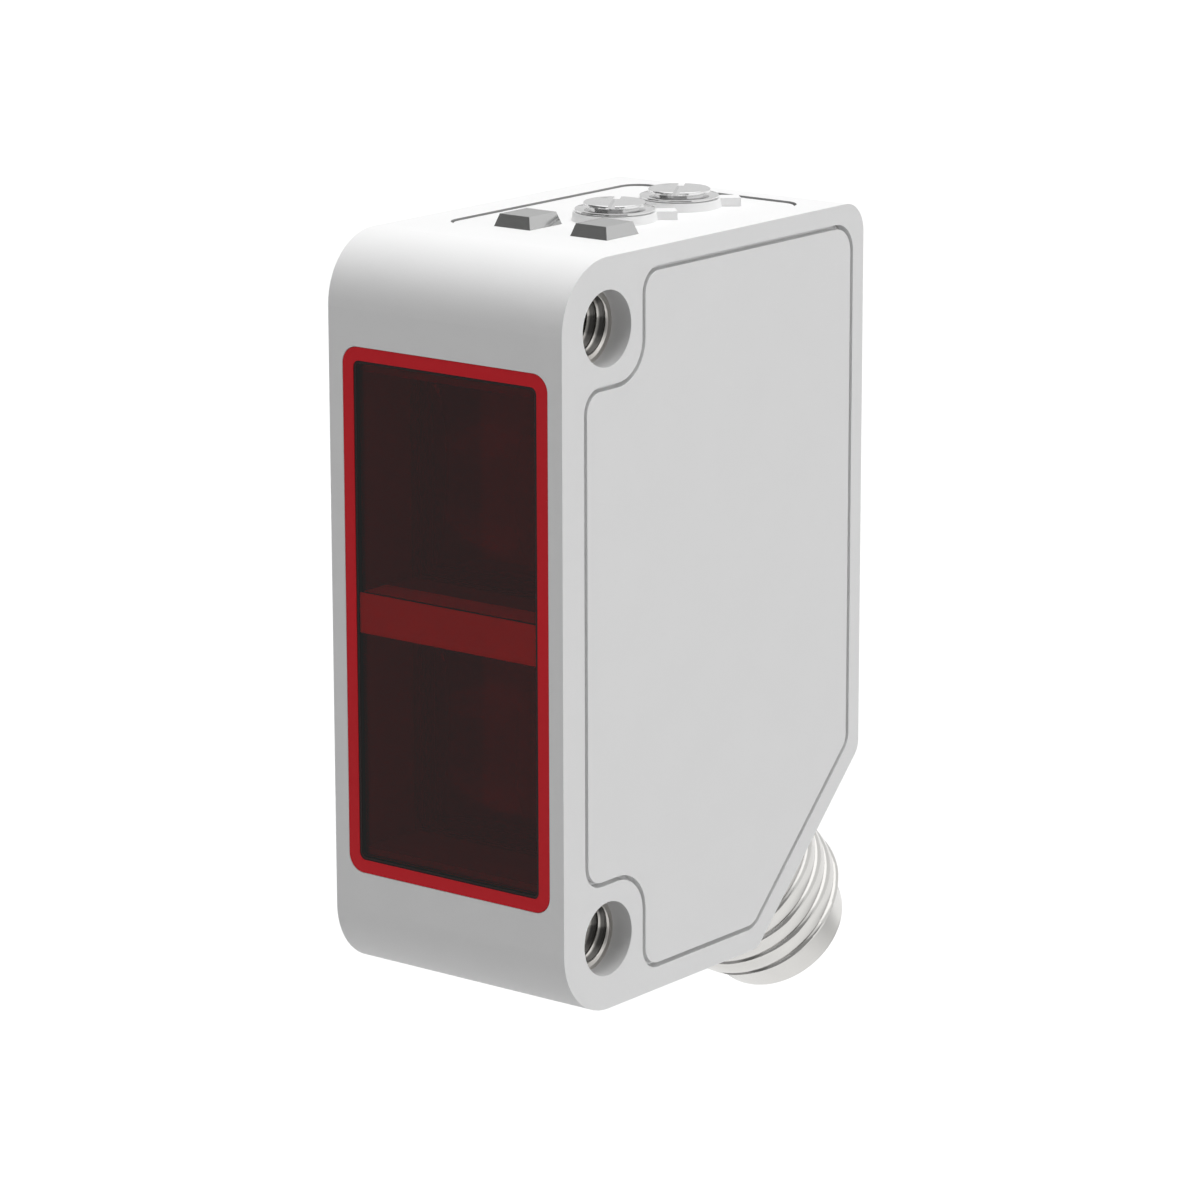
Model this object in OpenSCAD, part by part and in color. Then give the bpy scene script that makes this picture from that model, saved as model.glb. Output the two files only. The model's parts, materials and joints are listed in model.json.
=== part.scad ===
// Compact diffuse photoelectric sensor with a 45 degree M8 plug and two trimming dials.
// X runs across the narrow body, the optical window faces -Y and +Z is up.
// The origin lies midway between the two fixing holes, in the middle of the body's width.

/* [Body] */
// Width of the body, side face to side face
body_w = 12.2; // [12:0.1:13]
// Thickness of the closed side wall
side_wall = 1.0; // [0.8:0.1:1.2]
// Radius of the rear upper edge
rear_top_r = 1.3; // [0.6:0.1:1.6]
// Radius where the plug's 45 degree cut meets the rear and the underside
plug_cut_r = 0.9; // [0.4:0.1:1.2]

/* [Fixing holes] */
// Distance between the two fixing holes
hole_pitch = 25.4; // [25:0.1:26]
// Fixing holes from the window face, which is also the radius of the front edges
hole_setback = 2.9; // [2.8:0.1:3.1]
// Lower fixing hole from the underside
hole_foot = 3.0; // [2.9:0.1:3.3]
// Upper fixing hole from the top
hole_head = 2.9; // [2.8:0.1:3.2]
// Radius of the plain entry of each hole
hole_entry_r = 1.57; // [1.5:0.01:1.65]
// Depth of the plain entry on each side
hole_entry_depth = 1.0; // [0.6:0.1:1.5]
// Radius of the thread's bore in the metal sleeve
thread_bore_r = 1.25; // [1.2:0.01:1.3]
// Outer radius of the metal sleeve
sleeve_r = 1.8; // [1.75:0.05:1.9]
// Wall between each sleeve and the opening for the optics
sleeve_wall = 0.4; // [0.3:0.05:0.6]

/* [Side cover] */
// Thickness of the side cover
cover_t = 0.7; // [0.6:0.05:0.8]
// Width of the groove round the side cover
groove_w = 0.2; // [0.1:0.02:0.26]
// Depth of the groove, down to the side cover's lap
groove_depth = 0.45; // [0.3:0.05:0.5]
// Groove from the window face
cover_front = 1.5; // [1.4:0.1:1.7]
// Groove from the rear face
cover_rear = 0.85; // [0.7:0.05:1]
// Groove from the top
cover_top = 0.9; // [0.8:0.05:1.1]
// Groove from the underside
cover_bottom = 1.05; // [0.9:0.05:1.2]
// Groove from the 45 degree cut
cover_cut = 0.93; // [0.8:0.01:1.1]
// Groove from the axis of each fixing hole
cover_hole = 2.4; // [2.3:0.05:2.6]
// Radius of the groove's outer corners
cover_r = 0.95; // [0.8:0.05:1.1]
// Radius of the groove's inner corners, round the fixing holes
notch_r = 1.7; // [1.4:0.1:1.9]
// Width of the ledge that the covers lie on
ledge_w = 0.6; // [0.5:0.05:0.7]
// Height and width of the rim behind the side cover
rim_w = 0.5; // [0.4:0.05:0.6]

/* [Top cover] */
// Left edge of the top cover's seat from the body's side face
lid_left = 1.55; // [1.5:0.05:1.7]
// Right edge of the seat from the body's side face
lid_right = 1.45; // [1.4:0.05:1.6]
// Front edge of the seat ahead of the indicator windows
lid_front = 0.85; // [0.8:0.05:0.9]
// Rear edge of the seat from the rear face
lid_rear = 2.15; // [1.9:0.05:2.5]
// Radius of the seat's corners
lid_r = 1.0; // [0.6:0.1:1.3]
// Depth of the top cover's seat
lid_t = 0.9; // [0.8:0.05:1]
// Face of the top cover below the body's top
lid_sink = 0.07; // [0.05:0.01:0.1]
// Gap between the top cover and the edge of its seat
lid_gap = 0.12; // [0.04:0.02:0.14]

/* [Window] */
// Red frame from each side face
frame_side = 0.75; // [0.7:0.05:0.8]
// Red frame from the axis of each fixing hole
frame_hole = 1.55; // [1.4:0.05:1.6]
// Radius of the frame's outer corners
frame_r = 0.75; // [0.4:0.05:1]
// Width of the frame's border
frame_border = 0.55; // [0.5:0.01:0.58]
// Depth of the frame
frame_t = 0.45; // [0.4:0.05:0.6]
// Height of the bar between the two optical cells
bar_h = 1.7; // [1.5:0.1:2]
// Depth of the bar, which reaches between the cells
bar_d = 2.0; // [1:0.1:2.6]
// Thickness of the filter pane in front of the bar
pane_skin = 0.1; // [0.08:0.01:0.2]
// Step of the pane behind the frame's face
pane_step = 0.03; // [0.01:0.01:0.06]
// Width of the black seal round the pane
seal_w = 0.12; // [0.08:0.01:0.16]

/* [Optics] */
// Depth of the open cells in front of the lenses
cell_d = 4.2; // [4:0.05:4.6]
// Wall of the optics carrier
carrier_wall = 0.35; // [0.3:0.01:0.4]
// Thickness of each lens at its crown
lens_crown = 3.2; // [2.9:0.1:3.5]
// Radius of each lens's curved face
lens_r = 9.0; // [8.5:0.1:10]
// Thickness of each lens's rim
lens_rim = 0.6; // [0.5:0.05:0.8]
// Width of the rim that each lens is held by
lens_step = 0.4; // [0.3:0.05:0.5]
// Side of the square eyes in the carrier's rear wall
eye_w = 3.4; // [3.2:0.1:3.6]
// Thickness of the carrier's rear wall
eye_wall = 0.7; // [0.6:0.05:0.8]

/* [Dials] */
// Both dials from the body's middle
controls_x = 0.55; // [0.4:0.05:0.65]
// First dial's axis behind the indicator windows
dial_front = 2.2; // [2.1:0.05:2.4]
// Distance between the two dials
dial_pitch = 4.4; // [4.3:0.1:4.5]
// Second dial's axis from the rear face
dial_rear = 5.6; // [5.4:0.1:6]
// Radius of each dial's head
dial_head_r = 1.31; // [1.2:0.01:1.4]
// Radius of each dial's flange
dial_flange_r = 1.68; // [1.6:0.01:1.72]
// Radius of the neck between head and flange
dial_neck_r = 1.05; // [0.95:0.01:1.1]
// Top of each dial above the body
dial_rise = 0.7; // [0.62:0.01:0.9]
// Thickness of each dial's head
dial_head_t = 0.14; // [0.1:0.01:0.2]
// Thickness of each dial's flange
dial_flange_t = 0.12; // [0.08:0.01:0.16]
// Width of the screwdriver slot
slot_w = 0.28; // [0.2:0.01:0.35]
// Direction of the screwdriver slots at rest
slot_angle = 122; // [90:1:150]
// Radius of each dial's shaft
dial_shaft_r = 1.2; // [1.15:0.01:1.25]
// Radius of each dial's spindle
spindle_r = 0.7; // [0.6:0.01:0.8]
// Radius of the moulded collar round each dial, at its foot
collar_r = 1.81; // [1.79:0.01:1.9]
// Height of the collar
collar_h = 0.29; // [0.2:0.01:0.32]
// Reach of the collar's index lug from the dial's axis
lug_reach = 2.57; // [2.3:0.01:2.7]
// Width of the index lug
lug_w = 0.86; // [0.6:0.01:1]
// Radial running clearance of the dials
dial_play = 0.05; // [0.03:0.01:0.08]

/* [Indicators] */
// Left indicator window's middle from the left side face
indicator_left = 4.65; // [4.5:0.05:4.8]
// Right indicator window's middle from the right side face
indicator_right = 3.55; // [3.4:0.05:3.7]
// Indicator windows behind the wall of the upper fixing hole
indicator_front = 0.3; // [0.25:0.05:0.4]
// Width of each indicator window
indicator_w = 1.9; // [1.7:0.1:2]
// Depth of each indicator window
indicator_d = 2.1; // [1.8:0.1:2.2]
// Height of each indicator window above the body
indicator_h = 0.45; // [0.3:0.05:0.6]
// Draft of each indicator window's four sides
indicator_draft = 0.17; // [0.1:0.01:0.25]

/* [Plug] */
// Radius over the plug's thread
plug_r = 4.0; // [3.9:0.05:4.1]
// End of the thread from the 45 degree face
plug_thread_end = 6.4; // [6:0.1:7]
// Length of the plain relief before the thread
plug_relief = 0.8; // [0.5:0.1:1.2]
// Wall of the plain nose
nose_wall = 0.5; // [0.4:0.05:0.6]
// End of the nose from the 45 degree face
nose_end = 8.7; // [8.2:0.1:9.2]
// Radius of the socket inside the nose
socket_r = 2.75; // [2.65:0.05:2.85]
// Face of the contact carrier from the 45 degree face
socket_floor = 3.6; // [3:0.1:4.2]
// Wall of the shell where it passes through the body
neck_wall = 0.75; // [0.7:0.05:0.8]
// Depth of the seal's groove in that wall
neck_groove = 0.55; // [0.5:0.01:0.6]
// Width of the inner ring outside the shell
ring_w = 0.65; // [0.5:0.05:0.7]
// Thickness of the inner ring
ring_t = 0.9; // [0.7:0.05:1]
// Flat of the 45 degree face outside the ring's edge
ring_margin = 1.01; // [0.9:0.01:1.2]
// Radius of each contact pin
pin_r = 0.5; // [0.4:0.02:0.55]
// Radius of the circle of contact pins
pin_circle_r = 1.7; // [1.55:0.05:1.8]
// Ends of the contact pins inside the nose's end
pin_inset = 0.8; // [0.6:0.1:1.2]

/* [Electronics] */
// Thickness of the circuit boards
board_t = 0.8; // [0.6:0.05:0.9]
// Gap between the two trimmers
trimmer_gap = 0.4; // [0.3:0.05:0.5]
// Width of the main board
main_board_w = 5.3; // [5.2:0.1:6]
// Main board and top board from the inner left wall
board_gap = 0.8; // [0.7:0.05:0.9]
// Side of the light source
source_w = 2.8; // [2.4:0.1:3]
// Side of the light sensor
sensor_w = 3.0; // [2.6:0.1:3.1]
// Depth of the light source and the light sensor
eye_part_t = 0.8; // [0.7:0.05:0.9]
// Width of the larger chip
signal_chip_w = 3.0; // [2.8:0.1:3.4]
// Height of the larger chip
signal_chip_h = 4.8; // [4:0.1:5.2]
// Width of the smaller chip
driver_chip_w = 2.6; // [2.4:0.1:3]
// Height of the smaller chip
driver_chip_h = 2.8; // [2.4:0.1:3.2]
// Thickness of both chips
chip_t = 0.85; // [0.7:0.05:1]
// Reach of the chips' legs
leg_reach = 0.35; // [0.3:0.05:0.4]
// Gap between the parts on the main board
part_gap = 1.9; // [1.5:0.1:2.1]
// Width of the capacitor
capacitor_w = 2.6; // [2.2:0.1:2.8]
// Height of the capacitor
capacitor_h = 1.6; // [1.4:0.1:1.7]
// Width of the plug's board
plug_board_w = 7.8; // [7.2:0.1:8]
// Height of the plug's board
plug_board_h = 5.6; // [5.2:0.1:6]

/* [Hidden] */
$fn = 96;
// Thin overlap of cutting shapes past the faces that they cut
over = 0.05;
// Gap between moulded pieces that are pushed together
fit = 0.05;
// Gap between pieces that are bonded or clipped in place
bond = 0.02;

half_w = body_w / 2;
hole_z = hole_pitch / 2;
front_y = -hole_setback;
low_z = -hole_z - hole_foot;
top_z = hole_z + hole_head;
front_r = hole_setback;
inner_left_x = -half_w + side_wall;
cover_in_x = half_w - cover_t;
lid_seat_z = top_z - lid_t;
lid_face_z = top_z - lid_sink;

// Along the top: hole, wall, indicator windows, two dials, rear face
boss_y = cover_hole + ledge_w;
indicator_y = boss_y + indicator_front + indicator_d / 2;
dial_1_y = indicator_y + indicator_d / 2 + dial_front;
dial_2_y = dial_1_y + dial_pitch;
rear_y = dial_2_y + dial_rear;
indicator_left_x = -half_w + indicator_left;
indicator_right_x = half_w - indicator_right;

// The plug's own frame: its axis leaves the middle of the 45 degree face
neck_r = socket_r + neck_wall;
nose_r = socket_r + nose_wall;
ring_r = neck_r + ring_w;
plug_cut = (ring_r + ring_margin) * sqrt(2);
plug_y = rear_y - plug_cut / 2;
plug_z = low_z + plug_cut / 2;
plug_wall = cover_cut + ledge_w;
plug_rear = -(plug_wall + ring_t + 0.3);
plug_board_rear = plug_rear - board_t;
pin_end = nose_end - pin_inset;

// The optics stand between the two fixing holes, with the boards behind and above them
window_back_y = front_y + frame_t;
bar_face_y = front_y + pane_step + pane_skin + bond;
frame_w = body_w - 2 * frame_side;
frame_h = hole_pitch - 2 * frame_hole;
pane_w = frame_w - 2 * (frame_border + seal_w);
pane_h = frame_h - 2 * (frame_border + seal_w);
frame_in_r = 0.3;
carrier_half_w = half_w - side_wall - fit;
carrier_half_h = hole_z - sleeve_r - sleeve_wall - fit;
cell_half_w = carrier_half_w - carrier_wall;
cell_half_h = carrier_half_h - carrier_wall;
cell_h = cell_half_h - bar_h / 2;
cell_z = bar_h / 2 + cell_h / 2;
lens_face_y = front_y + cell_d;
lens_seat_y = lens_face_y + lens_rim;
board_rear_y = rear_y - cover_rear - ledge_w - 0.15;
board_front_y = board_rear_y - main_board_w;
carrier_end_y = board_front_y - board_t;
board_x = inner_left_x + board_gap;
board_face_x = board_x + board_t;
// Y less Z along the main board's lower edge, which lies on the plug's board
board_slope = plug_y - plug_z + plug_board_rear * sqrt(2);
board_mid_y = (board_front_y + board_rear_y) / 2;
top_board_z = carrier_half_h + fit;
top_board_top_z = top_board_z + board_t;
signal_chip_z = top_board_z - part_gap - 0.7 - signal_chip_h / 2;
driver_chip_z = signal_chip_z - signal_chip_h / 2 - part_gap - driver_chip_h / 2;
capacitor_z = driver_chip_z - driver_chip_h / 2 - part_gap + 0.2 - capacitor_h / 2;

// The dials hang in bosses below the top cover and reach into the trimmers
boss_r = dial_shaft_r + 0.55;
boss_end_z = lid_seat_z - 0.8;
trimmer_w = dial_pitch - trimmer_gap;
trimmer_top_z = boss_end_z - 0.15;
pipe_lip = 0.15;
led_h = 0.6;
// Seal ring in the groove of a dial's shaft
seal_r = 0.185;
seal_mean_r = dial_shaft_r + dial_play - 0.02 - seal_r;
seal_z = -lid_t / 2;

function unit(v) = v / norm(v);
function xy(p) = [p[0], p[1]];
function turn(a, b) = a[0] * b[1] - a[1] * b[0];

// Corner i of an outline of [x, y, radius] points: the way back, the way on and the half angle
function way_back(p, i) = unit(xy(p[(i + len(p) - 1) % len(p)]) - xy(p[i]));
function way_on(p, i) = unit(xy(p[(i + 1) % len(p)]) - xy(p[i]));
function half_angle(p, i) = acos(way_back(p, i) * way_on(p, i)) / 2;
function run_in(p, i) = p[i][2] / tan(half_angle(p, i));
function centre(p, i) = xy(p[i]) + unit(way_back(p, i) + way_on(p, i)) * p[i][2] / sin(half_angle(p, i));
function bulges(p, i) = turn(way_on(p, i), way_back(p, i)) > 0;

// Outline with true round corners, listed anticlockwise as [x, y, radius]
module rounded(p) {
    difference() {
        union() {
            polygon([for (i = [0 : len(p) - 1]) each
                p[i][2] == 0 ? [xy(p[i])]
                : [xy(p[i]) + way_back(p, i) * run_in(p, i), xy(p[i]) + way_on(p, i) * run_in(p, i)]]);
            for (i = [0 : len(p) - 1])
                if (p[i][2] > 0 && bulges(p, i))
                    translate(centre(p, i)) circle(p[i][2]);
        }
        for (i = [0 : len(p) - 1])
            if (p[i][2] > 0 && !bulges(p, i))
                translate(centre(p, i)) circle(p[i][2]);
    }
}

module rounded_rect(w, h, r) {
    rounded([[-w / 2, -h / 2, r], [w / 2, -h / 2, r], [w / 2, h / 2, r], [-w / 2, h / 2, r]]);
}

// Slab of a side outline, drawn in Y and Z, between two places on X
module across(x0, x1) {
    translate([x0, 0, 0]) rotate([90, 0, 90]) linear_extrude(x1 - x0) children();
}

// Slab of a front outline, drawn in X and Z, between two places on Y
module along(y0, y1) {
    translate([0, y1, 0]) rotate([90, 0, 0]) linear_extrude(y1 - y0) children();
}

module box(x0, x1, y0, y1, z0, z1) {
    translate([x0, y0, z0]) cube([x1 - x0, y1 - y0, z1 - z0]);
}

// Places its children on the plug's axis: their +Z points out of the body
module on_plug() {
    translate([0, plug_y, plug_z]) rotate([-135, 0, 0]) children();
}

// Side view of the body
module body_outline() {
    rounded([
        [front_y, low_z, front_r],
        [rear_y - plug_cut, low_z, plug_cut_r],
        [rear_y, low_z + plug_cut, plug_cut_r],
        [rear_y, top_z, rear_top_r],
        [front_y, top_z, front_r]
    ]);
}

// Side view of the groove's middle line, moved inwards by g
module cover_outline(g) {
    y0 = front_y + cover_front + g;
    y1 = rear_y - cover_rear - g;
    z0 = low_z + cover_bottom + g;
    z1 = top_z - cover_top - g;
    cut = rear_y - plug_cut - low_z - (cover_cut + g) * sqrt(2);
    hole_y = cover_hole + g;
    hole_low = -hole_z + cover_hole + g;
    hole_high = hole_z - cover_hole - g;
    outer_r = max(cover_r - g, 0.2);
    inner_r = notch_r + g;
    rounded([
        [hole_y, z0, outer_r],
        [z0 + cut, z0, outer_r],
        [y1, y1 - cut, outer_r],
        [y1, z1, outer_r + 0.2],
        [hole_y, z1, outer_r],
        [hole_y, hole_high, inner_r],
        [y0, hole_high, outer_r],
        [y0, hole_low, outer_r],
        [hole_y, hole_low, inner_r]
    ]);
}

// Top view of the top cover's seat, moved inwards by g
module lid_outline(g) {
    x0 = -half_w + lid_left + g;
    x1 = half_w - lid_right - g;
    y0 = indicator_y - indicator_d / 2 - lid_front + g;
    y1 = rear_y - lid_rear - g;
    r = max(lid_r - g, 0.2);
    rounded([[x0, y0, r], [x1, y0, r], [x1, y1, r], [x0, y1, r]]);
}

// Moulded body shell, open to the right, at the top and at the window
module housing() {
    color("whitesmoke") difference() {
        union() {
            difference() {
                across(-half_w, half_w) body_outline();
                // Room for the inner pieces and the seat of the side cover
                across(inner_left_x, half_w + over) cover_outline(ledge_w);
                across(cover_in_x, half_w + over) cover_outline(-groove_w / 2);
                // Seat of the top cover and the way through the top wall
                translate([0, 0, lid_seat_z]) linear_extrude(lid_t + over) lid_outline(0);
                translate([0, 0, lid_seat_z - ledge_w - 1]) linear_extrude(ledge_w + 2)
                    lid_outline(ledge_w);
            }
            // Ribs that carry the main board
            for (z = [board_rear_y - board_slope + 2, top_board_z - 3.5])
                box(inner_left_x - over, board_x, board_front_y + 0.5, board_rear_y - 0.4, z - 0.5, z + 0.5);
        }
        // Seat of the red frame and the way in for the optics
        along(front_y - over, window_back_y) rounded_rect(frame_w + 2 * bond, frame_h + 2 * bond, frame_r);
        along(window_back_y - over, boss_y + 0.4)
            square([2 * (carrier_half_w + fit), 2 * (carrier_half_h + fit)], center = true);
        // Fixing holes, wider in the middle for the metal sleeves
        for (z = [-hole_z, hole_z]) {
            translate([-half_w - over, 0, z]) rotate([0, 90, 0]) cylinder(r = hole_entry_r, h = body_w + 2 * over);
            translate([-half_w + hole_entry_depth, 0, z]) rotate([0, 90, 0])
                cylinder(r = sleeve_r, h = body_w - 2 * hole_entry_depth);
        }
        // Way out for the plug
        on_plug() translate([0, 0, -plug_wall - 1]) cylinder(r = neck_r + fit, h = plug_wall + 2);
    }
}

// Flush side cover with a lap below the groove and a locating rim behind it
module side_cover() {
    color("whitesmoke") {
        across(cover_in_x, half_w) cover_outline(groove_w / 2);
        across(cover_in_x, half_w - groove_depth) cover_outline(bond - groove_w / 2);
        difference() {
            across(cover_in_x - rim_w, cover_in_x + over) cover_outline(ledge_w + fit);
            across(cover_in_x - rim_w - over, cover_in_x) cover_outline(ledge_w + fit + rim_w);
            box(0, cover_in_x, front_y, board_front_y + fit, -carrier_half_h - fit, top_board_top_z);
        }
    }
}

// Raised ring round a dial, with its index lug
module dial_collar(y) {
    h = collar_h + lid_sink + over;
    translate([controls_x, y, top_z + collar_h - h]) {
        cylinder(r1 = collar_r, r2 = dial_flange_r + 0.06, h = h);
        rotate([0, 0, 45]) translate([0, -lug_w / 2, 0]) cube([lug_reach, lug_w, h]);
    }
    translate([controls_x, y, boss_end_z]) cylinder(r = boss_r, h = lid_seat_z - boss_end_z + over);
}

module top_cover() {
    color("whitesmoke") difference() {
        union() {
            translate([0, 0, lid_seat_z]) linear_extrude(lid_t - lid_sink) lid_outline(lid_gap);
            for (y = [dial_1_y, dial_2_y]) dial_collar(y);
        }
        for (y = [dial_1_y, dial_2_y])
            translate([controls_x, y, boss_end_z - over])
                cylinder(r = dial_shaft_r + dial_play, h = top_z + collar_h - boss_end_z + 2 * over);
        for (x = [indicator_left_x, indicator_right_x]) indicator_hole(x);
    }
}

module indicator_hole(x) {
    w = indicator_w + 2 * bond;
    d = indicator_d + 2 * bond;
    translate([x - w / 2, indicator_y - d / 2, lid_seat_z - over])
        cube([w, d, lid_t + 2 * over]);
}

// Red frame and the bar between the cells, one moulding
module window_frame() {
    in_w = frame_w - 2 * frame_border;
    in_h = frame_h - 2 * frame_border;
    color([0.62, 0.1, 0.13]) {
        along(front_y, window_back_y) difference() {
            rounded_rect(frame_w, frame_h, frame_r);
            rounded_rect(in_w, in_h, frame_in_r);
        }
        along(bar_face_y, window_back_y) square([in_w + 2 * over, bar_h], center = true);
        along(bar_face_y, front_y + bar_d) square([2 * (cell_half_w - bond), bar_h], center = true);
    }
}

// Dark red filter pane, thinner where it passes the bar
module window_filter() {
    color([0.2, 0.04, 0.05, 0.6]) difference() {
        along(front_y + pane_step, window_back_y) rounded_rect(pane_w, pane_h, frame_in_r - seal_w);
        along(bar_face_y - bond, window_back_y + over)
            square([pane_w + 2 * over, bar_h + 2 * bond], center = true);
    }
}

// Black seal between the frame and the pane
module window_seal() {
    color([0.06, 0.06, 0.06]) difference() {
        along(front_y + pane_step, window_back_y) difference() {
            rounded_rect(frame_w - 2 * frame_border, frame_h - 2 * frame_border, frame_in_r);
            rounded_rect(pane_w, pane_h, frame_in_r - seal_w);
        }
        along(bar_face_y - bond, window_back_y + over)
            square([frame_w, bar_h + 2 * bond], center = true);
    }
}

// Black carrier with the two open cells, the lens seats and the light chambers
module optics_carrier() {
    groove = 0.12;
    color([0.09, 0.09, 0.09]) difference() {
        along(window_back_y, carrier_end_y) square([2 * carrier_half_w, 2 * carrier_half_h], center = true);
        for (side = [-1, 1]) translate([0, 0, side * cell_z]) {
            along(window_back_y - over, lens_seat_y) square([2 * cell_half_w, cell_h], center = true);
            along(lens_face_y - 0.55, lens_face_y)
                square([2 * (cell_half_w + groove), cell_h + 2 * groove], center = true);
            along(lens_seat_y - over, carrier_end_y - eye_wall)
                square([2 * (cell_half_w - lens_step), cell_h - 2 * lens_step], center = true);
            along(carrier_end_y - eye_wall - over, carrier_end_y + over)
                square([eye_w, eye_w], center = true);
        }
        // Slot for the frame's bar
        along(window_back_y - over, front_y + bar_d + bond) square([2 * cell_half_w, bar_h + 0.01], center = true);
    }
}

// Rectangular lens, flat to the front and domed to the rear
module lens(side) {
    w = 2 * cell_half_w;
    color([0.75, 0.78, 0.8, 0.5]) translate([0, 0, side * cell_z]) {
        along(lens_face_y, lens_seat_y) square([w - 2 * bond, cell_h - 2 * bond], center = true);
        intersection() {
            along(lens_seat_y - over, lens_seat_y + lens_crown)
                square([w - 2 * lens_step - 2 * fit, cell_h - 2 * lens_step - 2 * fit], center = true);
            translate([0, lens_face_y + lens_crown - lens_r, 0]) sphere(lens_r);
        }
    }
}

module emitter_lens() { lens(-1); }
module receiver_lens() { lens(1); }

// Square light source or light sensor on the optics board, looking through its eye
module eye_part(side, w, tint) {
    color(tint) translate([0, 0, side * cell_z])
        along(carrier_end_y - eye_part_t, carrier_end_y) square([w, w], center = true);
    color([0.9, 0.85, 0.6]) translate([0, carrier_end_y - eye_part_t, side * cell_z])
        rotate([90, 0, 0]) cylinder(r = w * 0.32, h = 0.25);
}

module emitter_led() { eye_part(-1, source_w, [0.85, 0.85, 0.8]); }
module receiver_diode() { eye_part(1, sensor_w, [0.15, 0.15, 0.16]); }

module optics_board() {
    color([0.05, 0.3, 0.16]) along(carrier_end_y, carrier_end_y + board_t)
        square([2 * carrier_half_w - board_t, 2 * carrier_half_h - 2.9], center = true);
}

// Upright board whose lower edge lies on the plug's board
module main_board() {
    color([0.05, 0.3, 0.16]) across(board_x, board_face_x) polygon([
        [board_front_y, board_front_y - board_slope],
        [board_rear_y, board_rear_y - board_slope],
        [board_rear_y, top_board_z],
        [board_front_y, top_board_z]
    ]);
}

// Flat chip with its two rows of legs, on the main board
module chip(z, w, h, legs) {
    pitch = h / legs;
    color([0.08, 0.08, 0.09]) box(board_face_x, board_face_x + chip_t,
        board_mid_y - w / 2, board_mid_y + w / 2, z - h / 2, z + h / 2);
    color("silver") for (i = [0 : legs - 1])
        box(board_face_x, board_face_x + chip_t / 4,
            board_mid_y - w / 2 - leg_reach, board_mid_y + w / 2 + leg_reach,
            z - h / 2 + (i + 0.3) * pitch, z - h / 2 + (i + 0.7) * pitch);
}

module signal_chip() { chip(signal_chip_z, signal_chip_w, signal_chip_h, 6); }
module driver_chip() { chip(driver_chip_z, driver_chip_w, driver_chip_h, 4); }

module storage_capacitor() {
    color([0.75, 0.6, 0.4]) box(board_face_x, board_face_x + capacitor_h,
        board_mid_y - capacitor_w / 2, board_mid_y + capacitor_w / 2,
        capacitor_z - capacitor_h / 2, capacitor_z + capacitor_h / 2);
}

// Flat board below the top cover, which carries the trimmers and the indicator lights
module top_board() {
    color([0.05, 0.3, 0.16])
        box(inner_left_x + rim_w, cover_in_x - 2 * rim_w, boss_y + 0.2, board_rear_y,
            top_board_z, top_board_top_z);
}

// Square trimmer with the blind bore that takes a dial's spindle
module trimmer(y) {
    color([0.16, 0.2, 0.45]) difference() {
        box(controls_x - trimmer_w / 2, controls_x + trimmer_w / 2, y - trimmer_w / 2, y + trimmer_w / 2,
            top_board_top_z, trimmer_top_z);
        translate([controls_x, y, top_board_top_z + 0.7])
            cylinder(r = spindle_r + dial_play, h = trimmer_top_z - top_board_top_z);
    }
}

module sensitivity_trimmer() { trimmer(dial_1_y); }
module mode_trimmer() { trimmer(dial_2_y); }

// Turned dial: slotted head, neck, flange, grooved shaft and flattened spindle
module dial(y) {
    foot_z = top_board_top_z + 0.8 - top_z;
    shaft_z = boss_end_z + 0.1 - top_z;
    flange_z = collar_h + 0.01;
    head_z = dial_rise - dial_head_t;
    edge = 0.05;
    color("silver") translate([controls_x, y, top_z]) difference() {
        rotate_extrude() difference() {
            union() {
                polygon([
                    [0, foot_z], [spindle_r, foot_z], [spindle_r, shaft_z], [dial_shaft_r, shaft_z],
                    [dial_shaft_r, flange_z], [dial_flange_r, flange_z],
                    [dial_flange_r, flange_z + dial_flange_t], [dial_neck_r, flange_z + dial_flange_t],
                    [dial_neck_r, head_z], [dial_head_r, head_z], [dial_head_r, dial_rise - edge],
                    [dial_head_r - edge, dial_rise], [0, dial_rise]
                ]);
                translate([dial_head_r - edge, dial_rise - edge]) circle(r = edge, $fn = 32);
            }
            translate([seal_mean_r - seal_r, seal_z - seal_r - 0.03])
                square([2 * dial_shaft_r, 2 * seal_r + 0.06]);
        }
        rotate([0, 0, slot_angle]) translate([-2 * dial_head_r, -slot_w / 2, head_z + 0.02])
            cube([4 * dial_head_r, slot_w, dial_head_t + over]);
        translate([spindle_r * 0.6, -spindle_r, foot_z - over])
            cube([spindle_r, 2 * spindle_r, shaft_z - foot_z - 0.1]);
    }
}

module dial_seal(y) {
    color([0.07, 0.07, 0.07]) translate([controls_x, y, top_z + seal_z])
        rotate_extrude() translate([seal_mean_r, 0]) circle(r = seal_r, $fn = 32);
}

module sensitivity_dial() { dial(dial_1_y); }
module mode_dial() { dial(dial_2_y); }
module sensitivity_seal() { dial_seal(dial_1_y); }
module mode_seal() { dial_seal(dial_2_y); }

// Upright outline of an indicator window, narrower at its top
module drafted(w) {
    polygon([
        [-w / 2, lid_face_z - over], [w / 2, lid_face_z - over], [w / 2, lid_face_z],
        [w / 2 - indicator_draft, top_z + indicator_h], [indicator_draft - w / 2, top_z + indicator_h],
        [-w / 2, lid_face_z]
    ]);
}

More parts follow.
